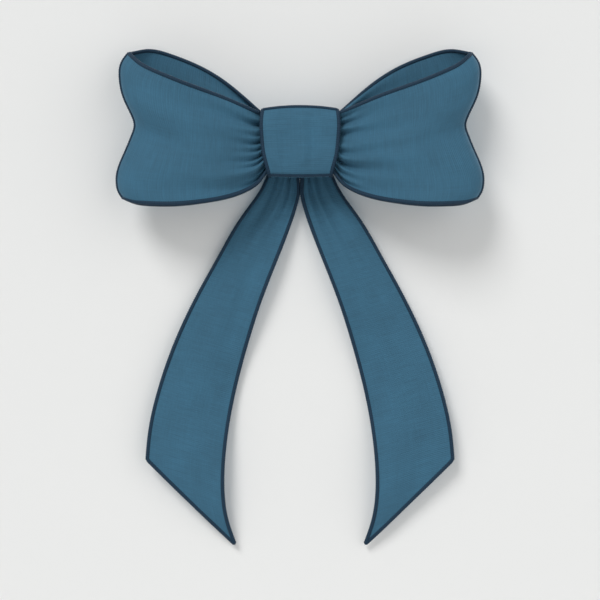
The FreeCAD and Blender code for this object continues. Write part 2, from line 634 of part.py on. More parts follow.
# ---------------------------------------------------------------- backing patch and adhesive pad
patch_face = doc.addObject("Part::Ellipse", "patch_face")
patch_face.setExpression("MajorRadius", "Sizes.patch_width / 2")
patch_face.setExpression("MinorRadius", "Sizes.patch_height / 2")
patch_face.Placement = FreeCAD.Placement(V(0, 0, 0), PLANES["XZ"])
node("backing_patch", extrude("BackingPatch", patch_face, "XZ",
                              "Sizes.pad_thickness + Sizes.patch_thickness", "-Sizes.pad_thickness"))
pad = doc.addObject("Part::Cylinder", "AdhesivePad")
pad.Placement = FreeCAD.Placement(V(0, 0, 0), PLANES["XZ"])
pad.setExpression("Radius", "Sizes.pad_diameter / 2")
pad.setExpression("Height", "Sizes.pad_thickness")
node("adhesive_pad", pad)

# ---------------------------------------------------------------- check and write the pieces
doc.recompute()
bad = [o.Label for o in doc.Objects if "Invalid" in o.State or "Error" in o.State]
if bad:
    raise RuntimeError(f"objects that did not rebuild: {bad}")
for name, item in nodes.items():
    shape = item.Shape
    if shape.isNull() or not shape.isValid() or not shape.Solids:
        raise RuntimeError(f"{name} has no valid solid")
os.makedirs("parts", exist_ok=True)
for name, item in nodes.items():
    item.Shape.exportStep(f"parts/{name}.step")
    box = item.Shape.BoundBox
    spans = [f"{low:7.1f} {high:7.1f}" for low, high in (
        (box.XMin, box.XMax), (box.YMin, box.YMax), (box.ZMin, box.ZMax))]
    print(f"{name:28s} solids {len(item.Shape.Solids)} volume {item.Shape.Volume:9.1f}", *spans)
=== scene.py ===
import json
import math

import bpy
import numpy as np
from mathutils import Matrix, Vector


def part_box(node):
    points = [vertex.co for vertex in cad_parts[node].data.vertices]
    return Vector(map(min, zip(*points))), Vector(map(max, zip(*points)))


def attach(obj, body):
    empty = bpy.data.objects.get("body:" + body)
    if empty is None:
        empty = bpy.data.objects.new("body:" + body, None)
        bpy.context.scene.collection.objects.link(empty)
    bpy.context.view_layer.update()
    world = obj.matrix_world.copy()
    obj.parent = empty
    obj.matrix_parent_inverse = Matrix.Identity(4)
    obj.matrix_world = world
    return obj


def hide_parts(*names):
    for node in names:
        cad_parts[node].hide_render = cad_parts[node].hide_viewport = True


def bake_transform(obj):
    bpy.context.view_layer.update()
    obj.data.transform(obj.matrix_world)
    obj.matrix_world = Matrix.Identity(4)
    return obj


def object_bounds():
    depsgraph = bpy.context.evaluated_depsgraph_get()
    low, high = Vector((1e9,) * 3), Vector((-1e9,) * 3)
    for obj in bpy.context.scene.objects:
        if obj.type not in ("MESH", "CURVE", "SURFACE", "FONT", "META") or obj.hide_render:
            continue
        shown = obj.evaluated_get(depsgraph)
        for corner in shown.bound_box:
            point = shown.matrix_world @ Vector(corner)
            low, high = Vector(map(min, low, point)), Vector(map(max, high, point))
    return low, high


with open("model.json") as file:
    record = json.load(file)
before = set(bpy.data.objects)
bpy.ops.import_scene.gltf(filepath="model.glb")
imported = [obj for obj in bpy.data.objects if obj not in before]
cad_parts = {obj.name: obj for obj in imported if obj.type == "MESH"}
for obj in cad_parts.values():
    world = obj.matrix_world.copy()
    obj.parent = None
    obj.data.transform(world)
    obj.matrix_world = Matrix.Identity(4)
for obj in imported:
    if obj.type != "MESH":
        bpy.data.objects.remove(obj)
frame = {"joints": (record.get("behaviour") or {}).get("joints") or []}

cad_low, cad_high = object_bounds()
MM = 0.001

# ---------------------------------------------------------------- places from the frame, in millimetres
joints = {j["name"]: j for j in frame["joints"]}
loop_low, loop_high = (np.array(c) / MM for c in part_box("right_loop"))
_, rim_high = (np.array(c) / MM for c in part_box("right_loop_upper_edging"))
hem_low, _ = (np.array(c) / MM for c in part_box("right_loop_lower_edging"))
bead_low, bead_high = (np.array(c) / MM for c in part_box("right_loop_fold_stitching"))
tail_low, tail_high = (np.array(c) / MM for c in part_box("right_tail_edging"))
band_low, band_high = (np.array(c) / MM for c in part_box("centre_band"))
patch_low, patch_high = (np.array(c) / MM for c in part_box("backing_patch"))
pad_low, pad_high = (np.array(c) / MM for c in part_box("adhesive_pad"))
fold_low, fold_high = (np.array(c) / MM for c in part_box("tail_fold"))

HINGE_Y = joints["right_loop_fold"]["pos_m"][1] / MM
TAIL_Y = joints["right_tail_lift"]["pos_m"][1] / MM
TAIL_Z = joints["right_tail_lift"]["pos_m"][2] / MM
LOOP_MID = (bead_low[1] + bead_high[1]) / 2
LOOP_HALF = (loop_high[1] - loop_low[1]) / 2 - 0.5
LOOP_REACH = bead_high[0] - 1.8
LOOP_RISE = rim_high[2]
LOOP_DROP = hem_low[2]
KNOT_HALF = band_high[2]
TAIL_WIDE = tail_high[0]
TAIL_TIP = tail_low[2]

# ---------------------------------------------------------------- cloth, edgings and wires, in millimetres
THICK = 0.55          # the cloth
HEM_WIDE = 2.5        # a stitched edging, across the ribbon's edge
HEM_THICK = 1.9       # and through it
EDGE_INSET = 0.3      # middle of an edging, in from the ribbon's edge
STITCH = 1.5          # one stitch of an edging, along the edge
RIDGE = 0.13          # a stitch's ridge, as a share of the edging's half width
WIRE = 0.5            # an edge wire
FOLD_TUCK = (2.2, 1.9)     # a loop's pintuck, down its outer fold: across it and through it
BAND_TUCK = (2.4, 1.8)     # a pintuck on the band's front folds


# ---------------------------------------------------------------- small tools
def curve(points):
    """A smooth function through (place, value) pairs: a natural cubic spline."""
    x = np.array([p[0] for p in points], float)
    y = np.array([p[1] for p in points], float)
    n = len(x)
    h = np.diff(x)
    a = np.zeros((n, n))
    b = np.zeros(n)
    a[0, 0] = a[-1, -1] = 1
    for i in range(1, n - 1):
        a[i, i - 1] = h[i - 1]
        a[i, i] = 2 * (h[i - 1] + h[i])
        a[i, i + 1] = h[i]
        b[i] = 6 * ((y[i + 1] - y[i]) / h[i] - (y[i] - y[i - 1]) / h[i - 1])
    m = np.linalg.solve(a, b)

    def value(t):
        t = np.asarray(t, float)
        i = np.clip(np.searchsorted(x, t) - 1, 0, n - 2)
        left = (x[i + 1] - t) / h[i]
        right = (t - x[i]) / h[i]
        return (left * y[i] + right * y[i + 1]
                + ((left ** 3 - left) * m[i] + (right ** 3 - right) * m[i + 1]) * h[i] ** 2 / 6)
    return value


def walked(points):
    """How far along a line of points each of them lies."""
    return np.concatenate([[0], np.cumsum(np.linalg.norm(np.diff(points, axis=0), axis=1))])


def line(points, n):
    """n evenly spaced points on a smooth line through the given ones."""
    p = np.array(points, float)
    along = walked(p)
    parts = [curve(list(zip(along, p[:, k]))) for k in range(p.shape[1])]
    fine = np.linspace(0, along[-1], 60 * len(p))
    q = np.stack([f(fine) for f in parts], axis=1)
    way = walked(q)
    even = np.linspace(0, way[-1], n)
    return np.stack([np.interp(even, way, q[:, k]) for k in range(q.shape[1])], axis=1)


def step(a, b, x):
    """0 before a, 1 after b, smooth between."""
    t = np.clip((np.asarray(x, float) - a) / (b - a), 0, 1)
    return t * t * (3 - 2 * t)


def unit(v):
    """Vectors brought to length 1."""
    return v / np.maximum(np.linalg.norm(v, axis=-1, keepdims=True), 1e-9)


def circle(n):
    """n angles evenly round a circle."""
    return np.linspace(0, 2 * math.pi, n, endpoint=False)


# ---------------------------------------------------------------- meshes
def new_mesh(name, verts, faces, coords=None, smooth=True):
    """A mesh object from millimetres, its faces outward.  coords gives each vertex a cloth coordinate."""
    verts = np.asarray(verts, float)
    faces = [list(map(int, f)) for f in faces]
    volume = 0.0
    for size in {len(face) for face in faces}:
        corners = verts[np.array([face for face in faces if len(face) == size])]
        volume += np.sum(np.cross(corners[:, 1:-1], corners[:, 2:]) * corners[:, :1])
    if volume < 0:
        faces = [face[::-1] for face in faces]
    mesh = bpy.data.meshes.new(name)
    mesh.from_pydata((verts * MM).tolist(), [], faces)
    mesh.validate()
    if coords is not None:
        held = mesh.attributes.new("cloth", "FLOAT_VECTOR", "POINT")
        held.data.foreach_set("vector", np.asarray(coords, np.float32).ravel())
    if smooth:
        mesh.polygons.foreach_set("use_smooth", [True] * len(mesh.polygons))
    mesh.update()
    obj = bpy.data.objects.new(name, mesh)
    bpy.context.scene.collection.objects.link(obj)
    return obj


def normals_of(grid, closed=False):
    """Unit normals of a grid of points.  closed joins its last row to its first."""
    if closed:
        return normals_of(np.concatenate([grid[-2:], grid, grid[:2]]))[2:-2]
    du = np.gradient(grid, axis=0)
    dv = np.gradient(grid, axis=1)
    return unit(np.cross(du, dv))


def shell(name, grid, coords, thick=THICK, closed=False):
    """A thin closed cloth made of a grid of points.  closed joins its last row to its first."""
    rows, cols = grid.shape[:2]
    normal = normals_of(grid, closed)
    top = grid + normal * thick / 2
    under = grid - normal * thick / 2
    verts = np.concatenate([top.reshape(-1, 3), under.reshape(-1, 3)])
    half = rows * cols
    index = np.arange(half).reshape(rows, cols)
    nxt = np.roll(index, -1, axis=0) if closed else index[1:]
    cur = index if closed else index[:-1]
    quads = np.stack([cur[:, :-1], nxt[:, :-1], nxt[:, 1:], cur[:, 1:]], axis=-1).reshape(-1, 4)
    rims = [(cur[:, 0], nxt[:, 0], True), (cur[:, -1], nxt[:, -1], False)]
    if not closed:
        rims += [(index[0, :-1], index[0, 1:], False), (index[-1, :-1], index[-1, 1:], True)]
    faces = [quads, quads[:, ::-1] + half]
    for first, second, flip in rims:
        rim = np.stack([first, second, second + half, first + half], axis=-1)
        faces.append(rim[:, ::-1] if flip else rim)
    flat = coords.reshape(-1, 2)
    both = np.concatenate([flat, flat])
    layer = np.repeat([0.0, 1.0], half)
    return new_mesh(name, verts, np.concatenate(faces), np.column_stack([both, layer]))


def ring_quads(index, closed=False):
    """Quads between rings of points.  closed joins the last ring to the first."""
    nxt = np.roll(index, -1, axis=0) if closed else index[1:]
    cur = index if closed else index[:-1]
    corners = [cur, np.roll(cur, -1, axis=1), np.roll(nxt, -1, axis=1), nxt]
    return np.stack(corners, axis=-1).reshape(-1, 4).tolist()


def end_caps(index):
    """A face on the first ring and one on the last."""
    return [index[0, ::-1].tolist(), index[-1].tolist()]


def sweep(name, centre, across, normal, wide, thick, sides=10, stitch=STITCH, closed=False):
    """A bead carried along a line, with one ridge for each stitch.  With a stitch of 0 it is smooth."""
    length = walked(centre)
    total = length[-1]
    count = max(8, int(total / (stitch / 5 if stitch else 1.0)))
    even = np.linspace(0, total, count, endpoint=not closed)

    def resample(v):
        return np.stack([np.interp(even, length, v[:, k]) for k in range(3)], axis=1)
    c, e, n = resample(centre), unit(resample(across)), resample(normal)
    for _ in range(3 if stitch else 0):             # round off corners tighter than a stitch
        c[1:-1] = (c[:-2] + 2 * c[1:-1] + c[2:]) / 4
        e[1:-1] = (e[:-2] + 2 * e[1:-1] + e[2:]) / 4
    tangent = unit(np.gradient(c, axis=0))
    n = unit(n - tangent * np.sum(n * tangent, axis=1, keepdims=True))
    e = unit(e - tangent * np.sum(e * tangent, axis=1, keepdims=True))
    e = unit(e - n * np.sum(e * n, axis=1, keepdims=True))
    turn = circle(sides)
    swell = np.ones((count, sides))
    if stitch:
        lean = 0.25 * np.sin(turn)[None, :]
        phase = even[:, None] / stitch + lean
        swell = 1 - RIDGE + RIDGE * 2 * np.abs(np.sin(math.pi * phase))
    ring = (c[:, None] + e[:, None] * (np.cos(turn)[None, :] * swell * wide / 2)[..., None]
            + n[:, None] * (np.sin(turn)[None, :] * swell * thick / 2)[..., None])
    index = np.arange(count * sides).reshape(count, sides)
    faces = ring_quads(index, closed) + ([] if closed else end_caps(index))
    coords = np.stack(np.broadcast_arrays(even[:, None], turn[None, :], 0.0), axis=-1).reshape(-1, 3)
    return new_mesh(name, ring.reshape(-1, 3), faces, coords)


def wire_sweep(name, centre, across, normal, closed=False):
    """An edge wire along a line."""
    return sweep(name, centre, across, normal, WIRE, WIRE, sides=6, stitch=0, closed=closed)


def edge_frames(grid, column):
    """Line, outward direction and normal along one edge of a grid."""
    normal = normals_of(grid)[:, column]
    near = 1 if column == 0 else -2
    outward = unit(grid[:, column] - grid[:, near])
    return grid[:, column] - outward * EDGE_INSET, outward, normal


# ---------------------------------------------------------------- unevenness of cloth
def ripple(w, along, seed, waves):
    """Gathers across a ribbon: (count, height, reach) waves, each dying out along the ribbon."""
    rng = np.random.default_rng(seed)
    total = np.zeros(np.broadcast(w, along).shape)
    for count, height, reach in waves:
        phase = rng.uniform(0, 2 * math.pi)
        bend = rng.uniform(-0.6, 0.6)
        pulse = np.sin(2 * math.pi * count * (w + 0.04 * np.sin(5 * w + phase)) + phase + bend * along)
        total = total + height * pulse * np.exp(-(along / reach) ** 2)
    return total


def drift(u, w, seed, size):
    """Broad unevenness of a hanging cloth."""
    rng = np.random.default_rng(seed)
    total = np.zeros(np.broadcast(u, w).shape)
    for k in range(5):
        fu, fw = rng.uniform(0.6, 2.6, 2)
        pu, pw = rng.uniform(0, 2 * math.pi, 2)
        total = total + np.sin(2 * math.pi * fu * u + pu) * np.sin(2 * math.pi * fw * w + pw) / (1 + k)
    return size * total / 2


# ---------------------------------------------------------------- the shape of a loop
INNER_X = 9.0                                   # where a loop's layers start, inside the band
LOWER_FOLD_X = LOOP_REACH + 2.2                 # lower end of the outer fold
UPPER_FOLD_X = LOOP_REACH - 3.6
ROOT_TOP = KNOT_HALF - 6.2                      # edges of the layers inside the band
ROOT_LOW = -(KNOT_HALF - 4.4)
FOLD_TOP = LOOP_RISE - 3.6

# Heights of a loop's edges, from where its layers start (0) to its outer fold (1).
front_top = curve([(0, ROOT_TOP - 2), (0.13, ROOT_TOP), (0.18, 18.6), (0.387, 26.8), (0.611, 34.6),
                   (0.834, 43.8), (0.93, 49.8), (1, FOLD_TOP)])
back_top = curve([(0, ROOT_TOP - 2), (0.13, ROOT_TOP + 0.3), (0.20, 23.3), (0.384, 40.2), (0.563, 51.6),
                  (0.739, 58.6), (0.909, LOOP_RISE), (1, FOLD_TOP)])
low_edge = curve([(0, ROOT_LOW + 3), (0.105, ROOT_LOW), (0.135, -23.2), (0.165, -27.5), (0.21, -31.4),
                  (0.286, -35.5), (0.469, -40.6), (0.6875, LOOP_DROP + 0.2), (0.86, LOOP_DROP + 1.0),
                  (0.94, LOOP_DROP + 2.4), (1, LOOP_DROP + 5.2)])
BACK_LIFT = 2.0                                 # the back layer's lower edge lies up to this much higher
# How far the outer fold stands out of the straight line between its two ends.
fold_bend = curve([(0, -4.6), (0.045, -1.5), (0.10, 0.2), (0.17, 0.4), (0.32, -4.0), (0.44, -8.0),
                   (0.505, -9.2), (0.57, -7.2), (0.69, -1.2), (0.84, 2.6), (0.95, 1.2), (1, -2.2)])
# Plan of a loop: place along it, and place across it from the front (-1) to the back (1).
FRONT_PLAN = [(0, -0.36), (0.14, -0.475), (0.30, -0.75), (0.50, -0.96), (0.72, -1.0), (0.90, -0.72),
              (0.985, -0.25)]
PLAN = FRONT_PLAN + [(f, -e) for f, e in reversed(FRONT_PLAN)]
PLAN_LONG = 100.0                               # the plan is divided evenly at these sizes
PLAN_HALF = 19.5
LOOP_MOUTH = 0.12                               # place along a loop where it leaves the band
FOLD_DENT = 0.22                                # how much thinner a loop is halfway up its outer fold
LOOP_WAVES = [(8.4, 1.75, 0.14), (4.6, 1.5, 0.34), (2.3, 1.05, 0.62)]
GATHERED_IN = 0.85                              # share of the gathers' height that lies inside the plan
LOOP_WEAVE = 96.0                               # width of a ribbon as its weave counts it
TAIL_WEAVE = 50.0
BAND_WEAVE = 50.0


def loop_grid(side, seed, rows=140, cols=112):
    """Middle surface of a loop ribbon, from the knot out along the front and back along the back."""
    plan = line([(f * PLAN_LONG, e * PLAN_HALF) for f, e in PLAN], rows)
    f = (plan[:, 0] / PLAN_LONG)[:, None]
    e = (plan[:, 1] / PLAN_HALF)[:, None]
    w = np.linspace(0, 1, cols)[None, :]
    back = step(-0.35, 0.35, e)                 # 0 on the front layer, 1 on the back one
    fc = np.clip(f, 0, 1)
    top = front_top(fc) * (1 - back) + back_top(fc) * back
    low = low_edge(fc) + BACK_LIFT * back * np.sin(math.pi * fc)
    straight = LOWER_FOLD_X + (UPPER_FOLD_X - LOWER_FOLD_X) * w
    x = INNER_X + f * (straight - INNER_X) + fold_bend(w) * step(0.25, 1.0, f) ** 2
    z = low + (top - low) * w
    mid = HINGE_Y + (LOOP_MID - HINGE_Y) * step(0.1, 0.7, f)
    valley = 1 - FOLD_DENT * np.exp(-((w - 0.5) / 0.16) ** 2) * step(0.35, 0.95, f)
    y = mid + e * LOOP_HALF * valley * (1 - 0.06 * np.cos(2 * math.pi * w))
    out = np.clip(f - LOOP_MOUTH, 0, 1)
    crest = sum(height * np.exp(-(out / reach) ** 2) for _, height, reach in LOOP_WAVES)
    ahead = ripple(w, out, seed, LOOP_WAVES) - GATHERED_IN * crest
    behind = ripple(w, out, seed + 7, LOOP_WAVES) - GATHERED_IN * crest
    calm = step(0, 0.25, np.abs(e)) * (0.35 + 0.65 * step(0, LOOP_MOUTH, f))
    sign = np.where(e < 0, -1.0, 1.0)
    uneven = drift(f + (e > 0) * 1.7, w, seed + 3, 0.7)
    y = y + sign * np.where(e < 0, ahead, behind) * calm + uneven * calm
    grid = np.stack(np.broadcast_arrays(x, y, z), axis=-1).copy()
    grid[..., 0] *= side
    along = walked(grid[:, cols // 2])
    coords = np.stack(np.broadcast_arrays(along[:, None], w * LOOP_WEAVE), axis=-1)
    return grid, coords


# ---------------------------------------------------------------- the shape of a tail
TAIL_BACK = -1.9                                # no part of a tail lies further back than this
TAIL_SIDE = TAIL_WIDE - 1.0                     # widest point and lowest point of the cloth
TAIL_END = TAIL_TIP + 1.2
INNER_EDGE = [(0.98, 3), (0.98, -12), (0.98, TAIL_Z), (1.0, -34), (2.4, -40.5), (8.9, -60), (18.2, -83.7),
              (27.6, -108.5), (35.8, -134.5), (42.8, -160.5), (48.0, -186.5), (50.8, -211), (51.3, -229),
              (48.8, -251), (43.2, TAIL_END)]
OUTER_EDGE = [(6.5, 3), (14, -8), (20.5, -19), (24.4, -28), (38.4, -49), (53.0, -73.5), (66.6, -98),
              (78.4, -122), (88.2, -146.5), (95.2, -169), (99.8, -190), (TAIL_SIDE, -211)]
# Down a tail, from its top (0) to its cut end (1): how far it stands forward, leans and is cupped.
tail_wave = curve([(0, 0), (0.13, 0.3), (0.30, 3.2), (0.46, 1.8), (0.58, 0.6), (0.70, 2.4), (0.84, 5.2),
                   (1, 1.6)])
tail_lean = curve([(0, 0), (0.2, 0.4), (0.4, -1.2), (0.65, 1.6), (0.85, -1.0), (1, 2.6)])
tail_cup = curve([(0, 0), (0.15, 0.2), (0.45, 1.4), (0.75, 0.6), (1, 1.8)])
TAIL_WAVES = [(4.3, 0.75, 0.16), (2.6, 0.7, 0.38), (1.4, 0.6, 0.7)]
TAIL_MOUTH = 0.07                               # place down a tail where it leaves the band


def tail_grid(side, seed, rows=230, cols=44):
    """Middle surface of a tail, from its gathered top behind the knot to its slanting end."""
    inner = line(INNER_EDGE, rows)
    outer = line(OUTER_EDGE, rows)
    w = np.linspace(0, 1, cols)[None, :, None]
    flat = inner[:, None] * (1 - w) + outer[:, None] * w
    w = w[..., 0]
    t = np.linspace(0, 1, rows)[:, None]
    y = TAIL_Y - tail_wave(t) - tail_lean(t) * (w - 0.5) * 2 - tail_cup(t) * (1 - 4 * (w - 0.5) ** 2)
    out = np.clip(t - TAIL_MOUTH, 0, 1)
    y = y + ripple(w, out, seed, TAIL_WAVES) * step(0, 0.06, t)
    y = y + drift(t * 1.6, w, seed + 5, 0.55) * step(0.1, 0.3, t)
    grid = np.stack([flat[..., 0] * side, np.minimum(y, TAIL_BACK), flat[..., 1]], axis=-1)
    down_inner, down_outer = (walked(grid[:, k])[:, None] for k in (0, -1))
    down = down_inner * (1 - w) + down_outer * w
    coords = np.stack(np.broadcast_arrays(down, w * TAIL_WEAVE), axis=-1)
    return grid, coords


# ---------------------------------------------------------------- the shape of the centre band
BAND_TOP = KNOT_HALF - 1.2
BAND_SOLE = 0.3 - KNOT_HALF
BAND_FRONT = band_low[1] + 0.4
BAND_BACK = band_high[1] - 0.4
# Once round the knot, seen from its side: place forward or back, and height.
BAND_RING = [(BAND_BACK, 0), (BAND_BACK, BAND_TOP * 0.55), (BAND_BACK - 1.2, BAND_TOP - 1.4),
             (BAND_BACK - 4.5, BAND_TOP), (BAND_FRONT + 8, BAND_TOP + 0.1),
             (BAND_FRONT + 3.4, BAND_TOP - 0.9), (BAND_FRONT + 0.9, BAND_TOP - 4.6), (BAND_FRONT - 0.1, 0),
             (BAND_FRONT + 0.9, BAND_SOLE + 3.9), (BAND_FRONT + 2.6, BAND_SOLE + 0.7),
             (BAND_FRONT + 8, BAND_SOLE), (BAND_BACK - 4.5, BAND_SOLE), (BAND_BACK - 1.2, BAND_SOLE + 1.4),
             (BAND_BACK, BAND_SOLE * 0.55), (BAND_BACK, 0)]
# Half the band's width at each height.
band_half = curve([(-26, 20.2), (-23, 20.6), (-12, 23.4), (0, 25.0), (8, 25.5), (19, 25.0), (26, 23.8)])
TOP_CROWN = 2.0                                 # how much lower the band's upper fold is at its sides
SOLE_CROWN = 0.5                                # how much higher its lower fold is at its sides
BAND_PINCH = 0.085                              # how much flatter it is at its sides


def band_grid(rows=200, cols=60):
    """Middle surface of the band, once round the knot."""
    ring = line(BAND_RING, rows + 1)[:-1]
    y = ring[:, 0][:, None]
    z = ring[:, 1][:, None]
    w = np.linspace(-1, 1, cols)[None, :]
    x = w * band_half(z)
    crowned = z - TOP_CROWN * step(0, BAND_TOP, z) * w ** 2 + SOLE_CROWN * step(0, BAND_TOP, -z) * w ** 2
    centre_y = (BAND_FRONT + BAND_BACK) / 2
    pinched = centre_y + (y - centre_y) * (1 - BAND_PINCH * np.abs(w) ** 3.2)
    angle = np.arctan2(z, y - centre_y)
    broad = np.sin(2 * math.pi * (1.25 * w + 0.3) + 0.6 * np.sin(angle))
    narrow = np.sin(2 * math.pi * (2.6 * w + 0.1) + 1.1 * np.cos(angle))
    folds = 0.50 * broad + 0.32 * narrow
    grid = np.stack(np.broadcast_arrays(x, pinched, crowned), axis=-1).copy()
    flatness = 1 - step(0.62 * BAND_TOP, 0.9 * BAND_TOP, np.abs(z))
    grid[..., 1] += np.sign(y - centre_y) * folds * (1 - w ** 4) * flatness
    coords = np.stack(np.broadcast_arrays(walked(ring)[:, None], (w + 1) * BAND_WEAVE / 2), axis=-1)
    return grid, coords


# ---------------------------------------------------------------- materials
def new_material(name):
    """A material with a bare Principled shader: the material, its node tree and the shader."""
    mat = bpy.data.materials.new(name)
    mat.use_nodes = True
    tree = mat.node_tree
    tree.nodes.clear()
    out = tree.nodes.new("ShaderNodeOutputMaterial")
    shader = tree.nodes.new("ShaderNodeBsdfPrincipled")
    tree.links.new(shader.outputs[0], out.inputs[0])
    return mat, tree, shader


def add(tree, kind, **values):
    """A new node with some of its properties or sockets set."""
    node = tree.nodes.new(kind)
    for key, value in values.items():
        if key in node.bl_rna.properties:
            setattr(node, key, value)
        else:
            node.inputs[key].default_value = value
    return node


def math_node(tree, operation, a, b=None):
    """The result of a sum on sockets or plain numbers."""
    node = tree.nodes.new("ShaderNodeMath")
    node.operation = operation
    for slot, value in ((0, a), (1, b)):
        if value is None:
            continue
        if isinstance(value, (int, float)):
            node.inputs[slot].default_value = value
        else:
            tree.links.new(value, node.inputs[slot])
    return node.outputs[0]


def mixed(tree, *parts):
    """The sum of (socket, weight) pairs."""
    total = None
    for value, weight in parts:
        part = math_node(tree, "MULTIPLY", value, weight)
        total = part if total is None else math_node(tree, "ADD", total, part)
    return total


def noise(tree, place, scale=1.0, detail=3.0, roughness=0.6):
    """Noise at the places that a socket gives."""
    node = add(tree, "ShaderNodeTexNoise", Scale=scale, Detail=detail, Roughness=roughness)
    tree.links.new(place, node.inputs["Vector"])
    return node.outputs["Fac"]


def cloth_coordinate(tree, scale):
    """The cloth coordinate of a piece (along, across, side), scaled."""
    held = add(tree, "ShaderNodeAttribute", attribute_name="cloth")
    mapping = tree.nodes.new("ShaderNodeMapping")
    mapping.inputs["Scale"].default_value = scale
    tree.links.new(held.outputs["Vector"], mapping.inputs["Vector"])
    return mapping.outputs[0]


def shade(colour, share):
    """A colour made darker or lighter."""
    return tuple(min(1, c * share) for c in colour) + (1,)


def colour_by(tree, shader, value, dark, light):
    """Base colour that goes from dark to light, each a (place, colour) pair, as a value grows."""
    ramp = tree.nodes.new("ShaderNodeValToRGB")
    for element, (place, colour) in zip(ramp.color_ramp.elements, (dark, light)):
        element.position = place
        element.color = colour
    tree.links.new(value, ramp.inputs[0])
    tree.links.new(ramp.outputs[0], shader.inputs["Base Color"])


def roughness_by(tree, shader, value, low, high):
    """Roughness that goes from low to high as a value grows."""
    spread = add(tree, "ShaderNodeMapRange")
    spread.inputs["To Min"].default_value = low
    spread.inputs["To Max"].default_value = high
    tree.links.new(value, spread.inputs["Value"])
    tree.links.new(spread.outputs[0], shader.inputs["Roughness"])


def bump_by(tree, shader, height, strength, distance):
    """A fine relief from a value."""
    bump = add(tree, "ShaderNodeBump", Strength=strength, Distance=distance)
    tree.links.new(height, bump.inputs["Height"])
    tree.links.new(bump.outputs[0], shader.inputs["Normal"])


RIB = 1.25            # spacing of the ribbon's ribs, in millimetres
YARN = 0.62           # spacing of the yarns that they cross


def ribbon_material(name, colour):
    """Woven ribbon with a fine rib across it, slubs, and slight fading."""
    mat, tree, shader = new_material(name)
    held = add(tree, "ShaderNodeAttribute", attribute_name="cloth")
    split = tree.nodes.new("ShaderNodeSeparateXYZ")
    tree.links.new(held.outputs["Vector"], split.inputs[0])
    slub = noise(tree, cloth_coordinate(tree, (1.1, 0.05, 1.0)))
    warp = noise(tree, cloth_coordinate(tree, (0.04, 1.3, 1.0)), detail=2.0, roughness=0.5)
    cloud = noise(tree, cloth_coordinate(tree, (0.035, 0.045, 1.0)), detail=4.0, roughness=0.55)
    ribs = math_node(tree, "SINE", math_node(tree, "MULTIPLY", split.outputs[0], 2 * math.pi / RIB))
    yarns = math_node(tree, "SINE", math_node(tree, "MULTIPLY", split.outputs[1], 2 * math.pi / YARN))
    tone = mixed(tree, (slub, 0.55), (warp, 0.30), (cloud, 0.5), (ribs, 0.03))
    colour_by(tree, shader, tone, (0.42, shade(colour, 0.78)), (0.96, shade(colour, 1.24)))
    roughness_by(tree, shader, tone, low=0.68, high=0.90)
    relief = mixed(tree, (ribs, 0.5), (yarns, 0.22), (slub, 0.8))
    bump_by(tree, shader, relief, strength=0.45, distance=0.00022)
    shader.inputs["Sheen Weight"].default_value = 0.14
    shader.inputs["Sheen Roughness"].default_value = 0.4
    shader.inputs["Sheen Tint"].default_value = (0.35, 0.62, 0.85, 1)
    shader.inputs["Specular IOR Level"].default_value = 0.28
    return mat


def thread_material(name, colour):
    """Stitching thread wrapped across an edge: fine fibres along each stitch."""
    mat, tree, shader = new_material(name)
    fibre = noise(tree, cloth_coordinate(tree, (5.0, 0.7, 1.0)))
    colour_by(tree, shader, fibre, (0.3, shade(colour, 0.7)), (0.75, shade(colour, 1.5)))
    roughness_by(tree, shader, fibre, low=0.5, high=0.75)
    bump_by(tree, shader, fibre, strength=0.5, distance=0.0001)
    shader.inputs["Sheen Weight"].default_value = 0.04
    shader.inputs["Specular IOR Level"].default_value = 0.22
    return mat


def plain_material(name, colour, scale, rough, metallic=0.0, strength=0.3, distance=0.0003, spread=0.12):
    """Felt, paper, foam or drawn wire: mottled colour, roughness and bump in object space."""
    mat, tree, shader = new_material(name)
    place = tree.nodes.new("ShaderNodeTexCoord")
    grain = noise(tree, place.outputs["Object"], scale=scale, detail=6.0, roughness=0.65)
    colour_by(tree, shader, grain, (0.3, shade(colour, 1 - spread)), (0.72, shade(colour, 1 + spread)))
    roughness_by(tree, shader, grain, rough - 0.08, min(1, rough + 0.08))
    bump_by(tree, shader, grain, strength, distance)
    shader.inputs["Metallic"].default_value = metallic
    return mat


STEEL_BLUE = (0.0385, 0.123, 0.195)
NAVY = (0.0055, 0.025, 0.050)
cloth = ribbon_material("steel_blue_ribbon", STEEL_BLUE)
thread = thread_material("navy_overlock", NAVY)
steel = plain_material("drawn_wire", (0.55, 0.56, 0.58), scale=900, rough=0.32, metallic=1.0, strength=0.1)
felt = plain_material("steel_blue_felt", (0.040, 0.115, 0.170), scale=900, rough=0.92, strength=0.8,
                      spread=0.3)
paper = plain_material("liner_paper", (0.70, 0.72, 0.70), scale=300, rough=0.42, strength=0.15, spread=0.04)
foam = plain_material("white_foam", (0.78, 0.77, 0.74), scale=1400, rough=0.7, strength=0.6,
                      distance=0.0002, spread=0.05)


def dress(obj, material):
    """Give a piece its material."""
    obj.data.materials.clear()
    obj.data.materials.append(material)
    return obj


# ---------------------------------------------------------------- loops
def loop_bend(obj):
    """Bake a loop piece's placement into its mesh."""
    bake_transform(obj)


def fold_pintuck(name, grid):
    """The stitched tuck down the outer fold of a loop."""
    back = grid.shape[0] // 2
    front = back - 1
    away = 12                                   # rows between which the way out is measured
    fold = (grid[back] + grid[front]) / 2
    out = unit(grid[back] - grid[back - away] + grid[front] - grid[front + away])
    out[:, 2] = 0
    out = unit(out)
    flat = np.tile([0.0, 1.0, 0.0], (len(fold), 1))
    return sweep(f"{name}_loop_fold_pintuck", fold + out * 0.5, out, flat, *FOLD_TUCK)


